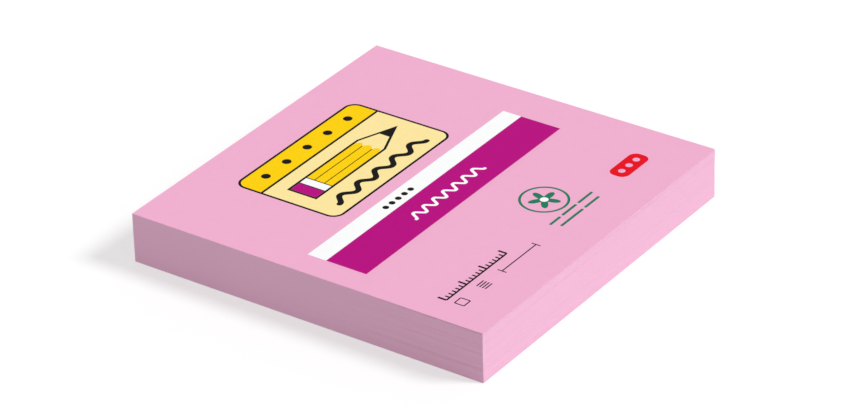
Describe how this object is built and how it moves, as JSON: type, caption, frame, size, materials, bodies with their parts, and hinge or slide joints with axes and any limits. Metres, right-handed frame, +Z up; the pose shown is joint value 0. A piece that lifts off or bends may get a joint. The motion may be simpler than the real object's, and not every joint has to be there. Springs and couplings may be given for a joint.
{
  "type": "sticky note pad",
  "caption": "Square pad of pink sticky notes with a printed cover sheet on top, glued along its back edge and standing on a backing sheet.",
  "frame": {"origin": "centre of the underside, the face that the pad rests on", "axes": "+X to the reader's right along the free front edge, +Y towards the glued back edge, +Z up through the stack to the printed cover"},
  "size_m": [0.076, 0.076, 0.01],
  "materials": {
    "cover_paper": "matte",
    "note_paper": "matte",
    "backing_paper": "matte"
  },
  "bodies": {
    "root": {"cover_sheet": "cover_paper", "note_sheets": "note_paper", "backing_sheet": "backing_paper"}
  },
  "joints": []
}
